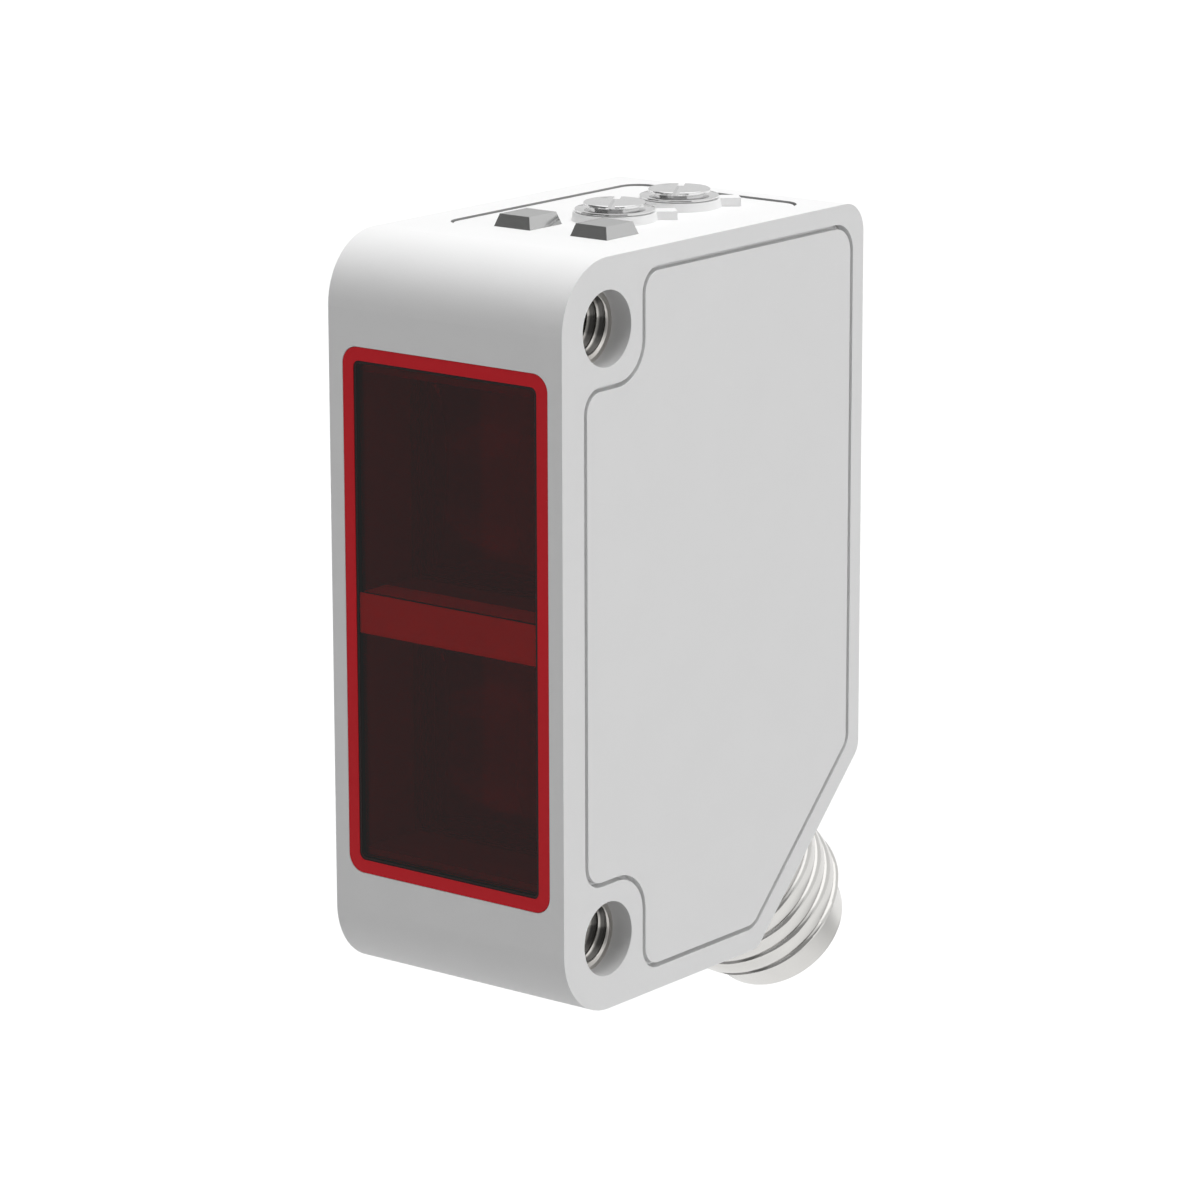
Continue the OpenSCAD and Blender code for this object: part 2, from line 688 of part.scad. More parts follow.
// Light pipe: drafted window on top, stem through the cover, lip below it and a foot over the light
module indicator_window(x) {
    foot_z = top_board_top_z + led_h + 0.1;
    color([0.72, 0.73, 0.71]) translate([x, indicator_y, 0]) {
        intersection() {
            along(-indicator_d / 2, indicator_d / 2) drafted(indicator_w);
            across(-indicator_w / 2, indicator_w / 2) drafted(indicator_d);
        }
        translate([-indicator_w / 2, -indicator_d / 2, lid_seat_z])
            cube([indicator_w, indicator_d, lid_t - lid_sink]);
        translate([-indicator_w / 2 - pipe_lip, -indicator_d / 2 - pipe_lip, lid_seat_z - 0.4])
            cube([indicator_w + 2 * pipe_lip, indicator_d + 2 * pipe_lip, 0.4]);
        translate([-indicator_w / 2 + 0.2, -indicator_d / 2 + 0.2, foot_z])
            cube([indicator_w - 0.4, indicator_d - 0.4, lid_seat_z - 0.4 - foot_z]);
    }
}

module indicator_window_left() { indicator_window(indicator_left_x); }
module indicator_window_right() { indicator_window(indicator_right_x); }

module indicator_led(x) {
    color([0.9, 0.9, 0.75])
        box(x - 0.4, x + 0.4, indicator_y - 0.8, indicator_y + 0.8, top_board_top_z, top_board_top_z + led_h);
}

module indicator_led_left() { indicator_led(indicator_left_x); }
module indicator_led_right() { indicator_led(indicator_right_x); }

// Moulded-in metal sleeve, chamfered at both ends of its bore
module sleeve(z) {
    l = body_w - 2 * hole_entry_depth;
    lead = 0.15;
    color("silver") translate([0, 0, z]) rotate([0, 90, 0]) difference() {
        cylinder(r = sleeve_r, h = l, center = true);
        cylinder(r = thread_bore_r, h = l + 1, center = true);
        for (flip = [0, 180]) rotate([flip, 0, 0]) translate([0, 0, l / 2 - lead])
            cylinder(r1 = thread_bore_r, r2 = thread_bore_r + lead + over, h = lead + over);
    }
}

module upper_sleeve() { sleeve(hole_z); }
module lower_sleeve() { sleeve(-hole_z); }

// Nickel-plated plug shell: neck with a seal groove, threaded barrel, plain nose and socket
module plug_shell() {
    back = -plug_wall - ring_t;
    groove_r = neck_r - neck_groove;
    color("silver") on_plug() rotate_extrude() polygon([
        [socket_r, back], [neck_r - 0.3, back],
        [neck_r - 0.3, -plug_wall], [neck_r, -plug_wall],
        [neck_r, -1.15], [groove_r, -1.15], [groove_r, -0.45], [neck_r, -0.45],
        [neck_r, plug_relief], [plug_r - 0.35, plug_relief], [plug_r, plug_relief + 0.35],
        [plug_r, plug_thread_end - 0.35], [plug_r - 0.35, plug_thread_end],
        [nose_r, plug_thread_end + 0.1], [nose_r, nose_end - 0.25], [nose_r - 0.25, nose_end],
        [socket_r + 0.1, nose_end], [socket_r, nose_end - 0.1]
    ]);
}

// Black contact carrier with its guide rib
module plug_insert() {
    color([0.08, 0.08, 0.08]) on_plug() difference() {
        union() {
            translate([0, 0, plug_rear]) cylinder(r = socket_r - bond, h = socket_floor - plug_rear);
            translate([-0.35, socket_r - 0.65, socket_floor - over]) cube([0.7, 0.5, 2.4]);
        }
        for (i = [0 : 3]) pin_place(i) translate([0, 0, plug_rear - over])
            cylinder(r = pin_r + bond, h = socket_floor - plug_rear + 2 * over);
    }
}

// The four contacts stand on a circle, two pairs with a wider gap at the guide rib
module pin_place(i) {
    rotate([0, 0, [50, 130, 225, 315][i]]) translate([pin_circle_r, 0, 0]) children();
}

module plug_pin(i) {
    color("goldenrod") on_plug() pin_place(i) {
        translate([0, 0, plug_board_rear]) cylinder(r = pin_r, h = pin_end - plug_board_rear - pin_r);
        translate([0, 0, pin_end - pin_r]) sphere(pin_r);
    }
}

module plug_pin_1() { plug_pin(0); }
module plug_pin_2() { plug_pin(1); }
module plug_pin_3() { plug_pin(2); }
module plug_pin_4() { plug_pin(3); }

// Seal ring between the shell's neck and the wall
module plug_seal() {
    r = (neck_groove - 0.03) / 2;
    color([0.07, 0.07, 0.07]) on_plug()
        rotate_extrude() translate([neck_r - neck_groove + r + 0.01, -0.8]) circle(r = r, $fn = 32);
}

// Ring that holds the shell against the inside of the wall
module plug_ring() {
    color([0.6, 0.6, 0.6]) on_plug() translate([0, 0, -plug_wall - ring_t]) difference() {
        cylinder(r = ring_r, h = ring_t);
        translate([0, 0, -over]) cylinder(r = neck_r - 0.3 + bond, h = ring_t + 2 * over);
    }
}

// Board behind the plug, which the contacts are soldered into
module plug_board() {
    color([0.05, 0.3, 0.16]) on_plug() difference() {
        translate([-plug_board_w / 2, -plug_board_h / 2, plug_board_rear])
            cube([plug_board_w, plug_board_h, board_t]);
        for (i = [0 : 3]) pin_place(i) translate([0, 0, plug_board_rear - over])
            cylinder(r = pin_r + bond, h = board_t + 2 * over);
    }
}

housing();
side_cover();
top_cover();
window_frame();
window_filter();
window_seal();
optics_carrier();
emitter_lens();
receiver_lens();
emitter_led();
receiver_diode();
optics_board();
main_board();
signal_chip();
driver_chip();
storage_capacitor();
top_board();
sensitivity_trimmer();
mode_trimmer();
sensitivity_dial();
mode_dial();
sensitivity_seal();
mode_seal();
indicator_window_left();
indicator_window_right();
indicator_led_left();
indicator_led_right();
upper_sleeve();
lower_sleeve();
plug_shell();
plug_insert();
plug_pin_1();
plug_pin_2();
plug_pin_3();
plug_pin_4();
plug_seal();
plug_ring();
plug_board();
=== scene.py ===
"""Finishes, cut threads, eased edges, studio and camera for the compact photoelectric sensor."""
import json
import math

import bmesh
import bpy
from mathutils import Matrix, Vector


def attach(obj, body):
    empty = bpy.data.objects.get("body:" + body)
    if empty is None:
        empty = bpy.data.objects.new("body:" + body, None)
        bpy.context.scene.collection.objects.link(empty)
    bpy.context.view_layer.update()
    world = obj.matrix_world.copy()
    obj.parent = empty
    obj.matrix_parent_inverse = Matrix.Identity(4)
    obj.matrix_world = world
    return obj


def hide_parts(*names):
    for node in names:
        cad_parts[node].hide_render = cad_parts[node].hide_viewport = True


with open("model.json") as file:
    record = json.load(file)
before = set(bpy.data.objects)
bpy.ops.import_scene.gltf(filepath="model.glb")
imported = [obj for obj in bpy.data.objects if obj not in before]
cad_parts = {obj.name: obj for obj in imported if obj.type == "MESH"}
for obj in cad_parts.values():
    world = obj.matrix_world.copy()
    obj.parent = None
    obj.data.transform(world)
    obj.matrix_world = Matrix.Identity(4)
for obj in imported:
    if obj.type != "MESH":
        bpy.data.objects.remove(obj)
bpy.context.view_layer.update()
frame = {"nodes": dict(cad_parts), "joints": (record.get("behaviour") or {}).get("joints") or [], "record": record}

MM = 0.001
nodes = frame["nodes"]


# The part's own places, in millimetres, from the frame

def extent(node):
    """Lowest and highest corner of a CAD node's box."""
    axes = list(zip(*nodes[node].bound_box))
    return [[round(pick(axis) / MM, 3) for axis in axes] for pick in (min, max)]


def named(rows, name):
    """The mount or joint of that name."""
    return next(row for row in rows if row["name"] == name)


def place_of(row):
    """Where a mount or joint is."""
    return [round(value / MM, 3) for value in row["pos_m"]]


upper_thread = named(frame["record"]["mounts"], "upper_fixing_thread")
HOLE_Z = place_of(upper_thread)[2]
BORE_R = upper_thread["dims"]["r_mm"]
CREST_R = named(frame["record"]["mounts"], "plug_thread")["dims"]["r_mm"]
DIAL_1 = place_of(named(frame["joints"], "sensitivity_turn"))
DIAL_2 = place_of(named(frame["joints"], "mode_turn"))
(_, _, LOW_Z), (HALF_W, REAR_Y, TOP_Z) = extent("housing")
(_, _, sleeve_low), (SLEEVE_HALF, _, _) = extent("upper_sleeve")
SLEEVE_R = HOLE_Z - sleeve_low

# Reach of the 45 degree cut along the rear and the underside; the plug's axis leaves the middle of its face
PLUG_CUT = 7.298
PLUG_ORIGIN = (0.0, REAR_Y - PLUG_CUT / 2, LOW_Z + PLUG_CUT / 2)
# Turn about X that lays +Z along the plug's axis
PLUG_TILT = -135.0
PLUG_AXIS = (0.0, math.sin(math.radians(-PLUG_TILT)), math.cos(math.radians(PLUG_TILT)))
# Width of the optics carrier's front rims, and how far scene.py sets them back from the pane
RIM_W = 0.35
RIM_GAP = 0.03


# Camera and studio

def camera():
    """The photograph's viewpoint: from the right front, a little above, through a long lens."""
    # Metres and degrees, solved from the body's edges in the photograph
    place = (0.128658, -0.156114, 0.050109)
    azimuth, downwards, roll = 38.2229, 13.7373, -0.12598
    lens = bpy.data.cameras.new("camera")
    lens.sensor_width = 36.0
    lens.lens = 152.05
    lens.clip_start = 0.01
    lens.clip_end = 20.0
    shot = bpy.data.objects.new("camera", lens)
    turn = Matrix.Rotation(math.radians(azimuth), 4, "Z")
    tip = Matrix.Rotation(math.radians(90.0 - downwards), 4, "X")
    level = Matrix.Rotation(math.radians(roll), 4, "Z")
    shot.matrix_world = Matrix.Translation(place) @ turn @ tip @ level
    bpy.context.scene.collection.objects.link(shot)
    bpy.context.scene.camera = shot


def soft_sun(name, towards, strength, spread):
    """A wide soft light that shines from one direction; towards points back at it."""
    lamp = bpy.data.lights.new(name, "SUN")
    lamp.energy = strength
    lamp.angle = math.radians(spread)
    holder = bpy.data.objects.new(name, lamp)
    holder.rotation_mode = "QUATERNION"
    holder.rotation_quaternion = Vector(towards).to_track_quat("Z", "Y")
    holder.visible_glossy = False
    bpy.context.scene.collection.objects.link(holder)


def seen_directly(tree):
    """1 for camera, mirror and glass rays, 0 for the soft light that reaches the object."""
    path = tree.nodes.new("ShaderNodeLightPath")
    mirror = math_node(tree, "MAXIMUM", path.outputs["Is Camera Ray"], path.outputs["Is Glossy Ray"])
    return math_node(tree, "MAXIMUM", mirror, path.outputs["Is Transmission Ray"])


def pale_room(fill):
    """White surroundings, which light the object only as strongly as the fill."""
    world = bpy.data.worlds.new("pale_room")
    world.use_nodes = True
    tree = world.node_tree
    tree.nodes.clear()
    out = tree.nodes.new("ShaderNodeOutputWorld")
    white = tree.nodes.new("ShaderNodeBackground")
    level = tree.nodes.new("ShaderNodeMapRange")
    level.inputs["To Min"].default_value = fill
    level.inputs["To Max"].default_value = 1.0
    tree.links.new(seen_directly(tree), level.inputs["Value"])
    tree.links.new(level.outputs["Result"], white.inputs["Strength"])
    tree.links.new(white.outputs["Background"], out.inputs["Surface"])
    bpy.context.scene.world = world


def studio():
    """White surroundings, one overhead and one side light, a pale floor and cards for the mirrors."""
    pale_room(fill=0.42)
    soft_sun("overhead_light", towards=(0.0, 0.139, 0.99), strength=2.35, spread=55)
    soft_sun("side_light", towards=(0.95, 0.25, 0.15), strength=0.97, spread=40)
    floor()
    screen("front_screen", start=200, end=276, low=-58, high=112, level=0.13)
    screen("camera_screen", start=276, end=347, low=-58, high=82, level=0.30)
    screen("window_screen", start=196, end=258, low=-58, high=8, level=0.33, reach=100)
    screen("side_screen", start=35, end=92, low=20, high=100, level=0.80)
    screen("rear_screen", start=92, end=168, low=2, high=95, level=0.70)
    soft_box("top_box", centre=(50, -20, 200), reach=200, level=1.4)


def floor(drop=60, half_side=6.0):
    """The pale floor, so many millimetres below the origin."""
    bm = bmesh.new()
    bmesh.ops.create_grid(bm, x_segments=1, y_segments=1, size=half_side)
    bmesh.ops.translate(bm, vec=(0, 0, -drop * MM), verts=bm.verts)
    plane = finished(bm, "floor")
    plane.data.materials.append(floor_paper())


def screen(name, start, end, low, high, level, reach=170):
    """An upright curved screen round the object, which only glossy and clear surfaces see."""
    bm = bmesh.new()
    side = Matrix.Rotation(math.radians(start), 3, "Z") @ Vector((reach * MM, 0, 0))
    verts = [bm.verts.new((side.x, side.y, height * MM)) for height in (low, high)]
    edges = [bm.edges.new(verts)]
    bmesh.ops.spin(
        bm, geom=verts + edges, cent=(0, 0, 0), axis=(0, 0, 1), dvec=(0, 0, 0),
        angle=math.radians(end - start), steps=36, use_merge=False, use_duplicate=False)
    mirrored_only(bm, name, level)


def soft_box(name, centre, reach, level):
    """A round bright card above the object, which only glossy and clear surfaces see."""
    bm = bmesh.new()
    bmesh.ops.create_circle(bm, cap_ends=True, segments=48, radius=reach * MM)
    bmesh.ops.translate(bm, vec=Vector(centre) * MM, verts=bm.verts)
    mirrored_only(bm, name, level)


def mirrored_only(bm, name, level):
    """Makes a glowing card of the bmesh, hidden from the camera, from soft light and from shadows."""
    card = finished(bm, name)
    card.visible_camera = False
    card.visible_diffuse = False
    card.visible_shadow = False
    material, tree, shader = new_finish(name, colour=(0, 0, 0), roughness=0.9)
    shader.inputs["Specular IOR Level"].default_value = 0.0
    shader.inputs["Emission Color"].default_value = (1, 1, 1, 1)
    shader.inputs["Emission Strength"].default_value = level
    card.data.materials.append(material)


def floor_paper():
    """Paper that reads white to the camera, keeps a faint shadow and mirrors darker behind the object."""
    behind, near, far = (0, 120, -60), 20, 100
    nearby_glow, far_glow, camera_glow = 0.05, 0.5, 0.56
    material, tree, shader = new_finish("floor_paper", colour=(0.45, 0.45, 0.45), roughness=0.9)
    shader.inputs["Specular IOR Level"].default_value = 0.0
    shader.inputs["Emission Color"].default_value = (1, 1, 1, 1)
    offset = vector_node(tree, "SUBTRACT", in_millimetres(tree), behind).outputs[0]
    distance = vector_node(tree, "LENGTH", offset).outputs["Value"]
    mirrored = smooth_rise(tree, distance, near, far, nearby_glow, far_glow)
    path = tree.nodes.new("ShaderNodeLightPath")
    mirror = math_node(tree, "MAXIMUM", path.outputs["Is Glossy Ray"], path.outputs["Is Transmission Ray"])
    faded = math_node(tree, "MULTIPLY", mirror, mirrored)
    glow = math_node(tree, "MULTIPLY_ADD", path.outputs["Is Camera Ray"], camera_glow, faded)
    tree.links.new(glow, shader.inputs["Emission Strength"])
    return material


# Node helpers

def feed(tree, value, socket):
    """Links another node's output to the socket, or sets a plain value on it."""
    if isinstance(value, bpy.types.NodeSocket):
        tree.links.new(value, socket)
    elif value is not None:
        socket.default_value = value


def math_node(tree, operation, *values):
    """Result of a Math node."""
    node = tree.nodes.new("ShaderNodeMath")
    node.operation = operation
    for socket, value in zip(node.inputs, values):
        feed(tree, value, socket)
    return node.outputs[0]


def vector_node(tree, operation, *values):
    """A Vector Math node, whose caller picks the output."""
    node = tree.nodes.new("ShaderNodeVectorMath")
    node.operation = operation
    for socket, value in zip(node.inputs, values):
        feed(tree, value, socket)
    return node


def smooth_rise(tree, value, start, end, low, high):
    """Goes smoothly from low to high while the value goes from start to end."""
    rise = tree.nodes.new("ShaderNodeMapRange")
    rise.interpolation_type = "SMOOTHSTEP"
    labels = ("Value", "From Min", "From Max", "To Min", "To Max")
    for label, given in zip(labels, (value, start, end, low, high)):
        feed(tree, given, rise.inputs[label])
    return rise.outputs["Result"]


def span(tree, value, low, high):
    """1 where the value lies between low and high, else 0."""
    return math_node(tree, "COMPARE", value, (low + high) / 2, (high - low) / 2)


def in_millimetres(tree):
    """The place on the object, in millimetres."""
    place = tree.nodes.new("ShaderNodeTexCoord").outputs["Object"]
    return vector_node(tree, "MULTIPLY", place, (1 / MM, 1 / MM, 1 / MM)).outputs[0]


def axes_apart(tree):
    """X, Y and Z of the place on the object, in millimetres."""
    apart = tree.nodes.new("ShaderNodeSeparateXYZ")
    tree.links.new(in_millimetres(tree), apart.inputs["Vector"])
    return apart.outputs


def noise(tree, place, scale, detail=2.0, dimensions="3D"):
    """Soft noise over a place, or along a line where dimensions is 1D."""
    node = tree.nodes.new("ShaderNodeTexNoise")
    node.noise_dimensions = dimensions
    node.inputs["Detail"].default_value = detail
    tree.links.new(place, node.inputs["W" if dimensions == "1D" else "Vector"])
    feed(tree, scale, node.inputs["Scale"])
    return node.outputs["Fac"]


def around(tree, wobble, middle, swing):
    """A value that varies about its middle by the swing, as the wobble goes from 0 to 1."""
    centred = math_node(tree, "SUBTRACT", wobble, 0.5)
    swung = math_node(tree, "MULTIPLY", centred, swing)
    return math_node(tree, "ADD", swung, middle)


def new_group(name, inputs, outputs):
    """An empty shader group: its number and vector inputs, and its number outputs."""
    tree = bpy.data.node_groups.new(name, "ShaderNodeTree")
    for label, value in inputs.items():
        kind = "NodeSocketVector" if isinstance(value, tuple) else "NodeSocketFloat"
        socket = tree.interface.new_socket(label, in_out="INPUT", socket_type=kind)
        socket.default_value = value
    for label in outputs:
        tree.interface.new_socket(label, in_out="OUTPUT", socket_type="NodeSocketFloat")
    return tree, tree.nodes.new("NodeGroupInput").outputs, tree.nodes.new("NodeGroupOutput").inputs


def place_group(tree, group, settings):
    """Outputs of a shader group that is placed in a material with its own values."""
    node = tree.nodes.new("ShaderNodeGroup")
    node.node_tree = group
    for label, value in settings.items():
        node.inputs[label].default_value = value
    return node.outputs


def moulded_grain():
    """Fine eroded grain of a mould, with slow variation in tone and gloss."""
    tree, given, out = new_group(
        "moulded_grain",
        {"Grain per mm": 9.0, "Roughness": 0.5, "Roughness swing": 0.12, "Tone swing": 0.03},
        ("Tone", "Roughness", "Height"),
    )
    place = in_millimetres(tree)
    grain = noise(tree, place, given["Grain per mm"], detail=3.0)
    slow = noise(tree, place, scale=0.35, detail=3.0)
    tree.links.new(around(tree, slow, 1.0, given["Tone swing"]), out["Tone"])
    both = math_node(tree, "MULTIPLY_ADD", grain, 0.5, math_node(tree, "MULTIPLY", slow, 0.5))
    tree.links.new(around(tree, both, given["Roughness"], given["Roughness swing"]), out["Roughness"])
    tree.links.new(grain, out["Height"])
    return tree


def turned_marks():
    """Rings left by a lathe about an axis, a light haze over the plating, and painted shade in thread roots."""
    tree, given, out = new_group(
        "turned_marks",
        {"Centre": (0.0, 0.0, 0.0), "Axis": (0.0, 0.0, 1.0), "Marks per mm": 9.0,
         "Roughness": 0.15, "Roughness swing": 0.08, "Root": 0.0, "Flank": 0.01, "Root painted shade": 1.0},
        ("Tone", "Roughness", "Height"),
    )
    place = in_millimetres(tree)
    offset = vector_node(tree, "SUBTRACT", place, given["Centre"]).outputs[0]
    along = vector_node(tree, "DOT_PRODUCT", offset, given["Axis"]).outputs["Value"]
    out_of = vector_node(tree, "CROSS_PRODUCT", offset, given["Axis"]).outputs[0]
    radius = vector_node(tree, "LENGTH", out_of).outputs["Value"]
    march = math_node(tree, "ADD", along, radius)
    rings = noise(tree, march, given["Marks per mm"], detail=2.0, dimensions="1D")
    haze = noise(tree, place, scale=1.3, detail=4.0)
    # Painted shade: the colour darkens towards the thread roots, by the radius from the axis
    rise = smooth_rise(tree, radius, given["Root"], given["Flank"], given["Root painted shade"], 1.0)
    tree.links.new(math_node(tree, "MULTIPLY", around(tree, haze, 1.0, 0.08), rise), out["Tone"])
    both = math_node(tree, "MULTIPLY_ADD", rings, 0.4, math_node(tree, "MULTIPLY", haze, 0.6))
    tree.links.new(around(tree, both, given["Roughness"], given["Roughness swing"]), out["Roughness"])
    tree.links.new(rings, out["Height"])
    return tree


GRAIN = moulded_grain()
TURNED = turned_marks()


# Kinds of finish

def new_finish(name, colour, roughness, metallic=0.0):
    """A material with its node tree and its shader."""
    material = bpy.data.materials.new(name)
    material.use_nodes = True
    tree = material.node_tree
    shader = tree.nodes["Principled BSDF"]
    shader.inputs["Base Color"].default_value = (*colour, 1)
    shader.inputs["Roughness"].default_value = roughness
    shader.inputs["Metallic"].default_value = metallic
    return material, tree, shader


def dress(tree, shader, made, colour, depth, tone=None):
    """Feeds a group's outputs to the shader: tone on the colour, roughness, and relief in millimetres."""
    mix = tree.nodes.new("ShaderNodeMix")
    mix.data_type = "RGBA"
    mix.blend_type = "MULTIPLY"
    mix.inputs["Factor"].default_value = 1.0
    mix.inputs["A"].default_value = (*colour, 1)
    tree.links.new(tone or made["Tone"], mix.inputs["B"])
    tree.links.new(mix.outputs["Result"], shader.inputs["Base Color"])
    tree.links.new(made["Roughness"], shader.inputs["Roughness"])
    bump = tree.nodes.new("ShaderNodeBump")
    bump.inputs["Strength"].default_value = 1.0
    bump.inputs["Distance"].default_value = depth * MM
    tree.links.new(made["Height"], bump.inputs["Height"])
    tree.links.new(bump.outputs["Normal"], shader.inputs["Normal"])


def moulding(name, colour, roughness=0.5, swing=0.12, grain=9.0, depth=0.002, tone=0.03, level=0.5,
             index=1.5, shade=None):
    """Moulded plastic or rubber; shade may multiply in a tone of painted shade."""
    material, tree, shader = new_finish(name, colour, roughness)
    shader.inputs["Specular IOR Level"].default_value = level
    shader.inputs["IOR"].default_value = index
    made = place_group(tree, GRAIN, {
        "Grain per mm": grain, "Roughness": roughness, "Roughness swing": swing, "Tone swing": tone})
    shaded = math_node(tree, "MULTIPLY", made["Tone"], shade(tree)) if shade else None
    dress(tree, shader, made, colour, depth, shaded)
    return material


def turned_metal(name, colour, centre, axis, roughness=0.15, swing=0.08, marks=9.0, depth=0.0006,
                 roots=(0.0, 0.01, 1.0)):
    """Plated metal turned on a lathe about one axis; roots gives two radii and the tone of painted shade at the
    first.
    """
    root, flank, root_painted_shade = roots
    material, tree, shader = new_finish(name, colour, roughness, metallic=1.0)
    made = place_group(tree, TURNED, {
        "Centre": centre, "Axis": axis, "Marks per mm": marks, "Roughness": roughness,
        "Roughness swing": swing, "Root": root, "Flank": flank, "Root painted shade": root_painted_shade})
    dress(tree, shader, made, colour, depth)
    return material


def clear_part(name, colour, roughness, level=0.5):
    """Clear moulded plastic, very slightly uneven."""
    material, tree, shader = new_finish(name, colour, roughness)
    shader.inputs["Transmission Weight"].default_value = 1.0
    shader.inputs["IOR"].default_value = 1.5
    shader.inputs["Specular IOR Level"].default_value = level
    made = place_group(tree, GRAIN, {
        "Grain per mm": 1.5, "Roughness": roughness, "Roughness swing": roughness / 2, "Tone swing": 0.02})
    dress(tree, shader, made, colour, depth=0.0002)
    return material


def recess_shade(tree):
    """Tone of the housing's recesses: painted shade in the top cover's seat and in the fixing holes."""
    edge, seat_depth, skin, seat_painted_shade = 0.15, 1.0, 0.005, 0.55
    hole_reach, side_skin, hole_painted_shade = 1.6, 0.02, 0.15
    x, y, z = axes_apart(tree)
    low, high = extent("top_cover")
    across = span(tree, x, low[0] - edge, high[0] + edge)
    along = span(tree, y, low[1] - edge, high[1] + edge)
    below = span(tree, z, TOP_Z - seat_depth, TOP_Z - skin)
    seat = math_node(tree, "MULTIPLY", math_node(tree, "MULTIPLY", across, along), below)
    wall = tree.nodes.new("ShaderNodeCombineXYZ")
    tree.links.new(y, wall.inputs["X"])
    tree.links.new(math_node(tree, "SUBTRACT", math_node(tree, "ABSOLUTE", z), HOLE_Z), wall.inputs["Y"])
    reach = vector_node(tree, "LENGTH", wall.outputs["Vector"]).outputs["Value"]
    within = math_node(tree, "LESS_THAN", reach, hole_reach)
    hole = math_node(tree, "MULTIPLY", within, span(tree, x, side_skin - HALF_W, HALF_W - side_skin))
    # Painted shade: darker in the top cover's seat and on the walls of the fixing holes
    seat_shaded = math_node(tree, "MULTIPLY_ADD", seat, -seat_painted_shade, 1.0)
    hole_shaded = math_node(tree, "MULTIPLY_ADD", hole, -hole_painted_shade, 1.0)
    return math_node(tree, "MULTIPLY", seat_shaded, hole_shaded)


def carrier_shade(tree):
    """Tone of the optics carrier: painted shade in the groove before the lenses and on its upright front rims."""
    groove_w, slack, darkening = 0.57, 0.01, 0.8
    x, y, _ = axes_apart(tree)
    lens_face = extent("emitter_lens")[0][1]
    (_, front, _), (side, _, _) = extent("optics_carrier")
    groove = span(tree, y, lens_face - groove_w, lens_face + 2 * slack)
    facing = span(tree, y, front - slack, front + RIM_GAP + slack)
    upright = span(tree, math_node(tree, "ABSOLUTE", x), side - RIM_W, side + slack)
    # Painted shade: darker in the groove before the lenses and on the upright front rims
    dark = math_node(tree, "MAXIMUM", groove, math_node(tree, "MULTIPLY", facing, upright))
    return math_node(tree, "MULTIPLY_ADD", dark, -darkening, 1.0)


# Mesh helpers

def finished(bm, name, smooth_below=32):
    """Object at the origin from a bmesh, smooth but for edges that turn by more than the angle."""
    for face in bm.faces:
        face.smooth = True
    for edge in bm.edges:
        if len(edge.link_faces) == 2:
            edge.smooth = edge.calc_face_angle(0.0) < math.radians(smooth_below)
    mesh = bpy.data.meshes.new(name)
    bm.to_mesh(mesh)
    bm.free()
    piece = bpy.data.objects.new(name, mesh)
    bpy.context.scene.collection.objects.link(piece)
    return piece


def fitted(piece, node, materials, body="sensor_body"):
    """The piece stands for a CAD node, on its body and its finishes."""
    for material in materials:
        piece.data.materials.append(material)
    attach(piece, body)
    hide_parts(node)


def screwed(profile, pitch, turns, steps):
    """Thread skin: one pitch as (share of the pitch, radius) points, repeated and screwed once round +Z."""
    bm = bmesh.new()
    line = [(radius, 0, (turn + share) * pitch) for turn in range(turns) for share, radius in profile]
    line.append((profile[0][1], 0, turns * pitch))
    verts = [bm.verts.new(point) for point in line]
    edges = [bm.edges.new(pair) for pair in zip(verts, verts[1:])]
    bmesh.ops.spin(
        bm, geom=verts + edges, cent=(0, 0, 0), axis=(0, 0, 1), dvec=(0, 0, pitch / steps),
        angle=math.tau, steps=steps, use_merge=False, use_duplicate=False)
    bmesh.ops.remove_doubles(bm, verts=bm.verts, dist=1e-4)
    return bm


def bisected(bm, height, side, outer=False):
    """Cuts the skin at a height, and drops what lies past it where outer is set."""
    bmesh.ops.bisect_plane(
        bm, geom=bm.verts[:] + bm.edges[:] + bm.faces[:], dist=1e-6,
        plane_co=(0, 0, height), plane_no=(0, 0, side), clear_outer=outer)


def trimmed(bm, low, high, spacing, reach):
    """Cuts the skin square at both heights, and adds cuts near them for the chamfers."""
    for height, side in ((low, -1), (high, 1)):
        bisected(bm, height, side, outer=True)
        cut = spacing
        while cut < reach:
            bisected(bm, height - side * cut, 1)
            cut += spacing


def open_ring(bm, height):
    """Edges of the skin's open end at a height."""
    return [e for e in bm.edges if e.is_boundary and all(abs(v.co.z - height) < 1e-4 for v in e.verts)]


def from_axis(vert):
    """How far a vertex lies from the Z axis."""
    return math.hypot(vert.co.x, vert.co.y)


def set_ring(verts, radius, height):
    """Moves vertices to a radius and a height, each in its own direction."""
    for vert in verts:
        flat = from_axis(vert)
        vert.co = (vert.co.x * radius / flat, vert.co.y * radius / flat, height)


def drawn_on(bm, edges, stations):
    """Carries an open ring of edges on through the stations, each a radius and a height."""
    for radius, height in stations:
        grown = bmesh.ops.extrude_edge_only(bm, edges=edges)["geom"]
        edges = [g for g in grown if isinstance(g, bmesh.types.BMEdge)]
        set_ring([g for g in grown if isinstance(g, bmesh.types.BMVert)], radius, height)
    return edges


def closed(bm):
    """Merges what meets and turns every face outwards."""
    bmesh.ops.remove_doubles(bm, verts=bm.verts, dist=1e-5)
    bmesh.ops.recalc_face_normals(bm, faces=bm.faces)


def placed(bm, place):
    """Turns the bmesh's millimetres into metres and moves it to its place."""
    bmesh.ops.scale(bm, vec=(MM, MM, MM), verts=bm.verts)
    bmesh.ops.transform(bm, matrix=place, verts=bm.verts)


def copied(node):
    """A merged copy of a CAD node's mesh, in millimetres."""
    bm = bmesh.new()
    bm.from_mesh(nodes[node].data)
    bmesh.ops.remove_doubles(bm, verts=bm.verts, dist=1e-7)
    bmesh.ops.scale(bm, vec=(1 / MM, 1 / MM, 1 / MM), verts=bm.verts)
    return bm


# Pieces that stand for a CAD node, with the threads and edges that they are cut with

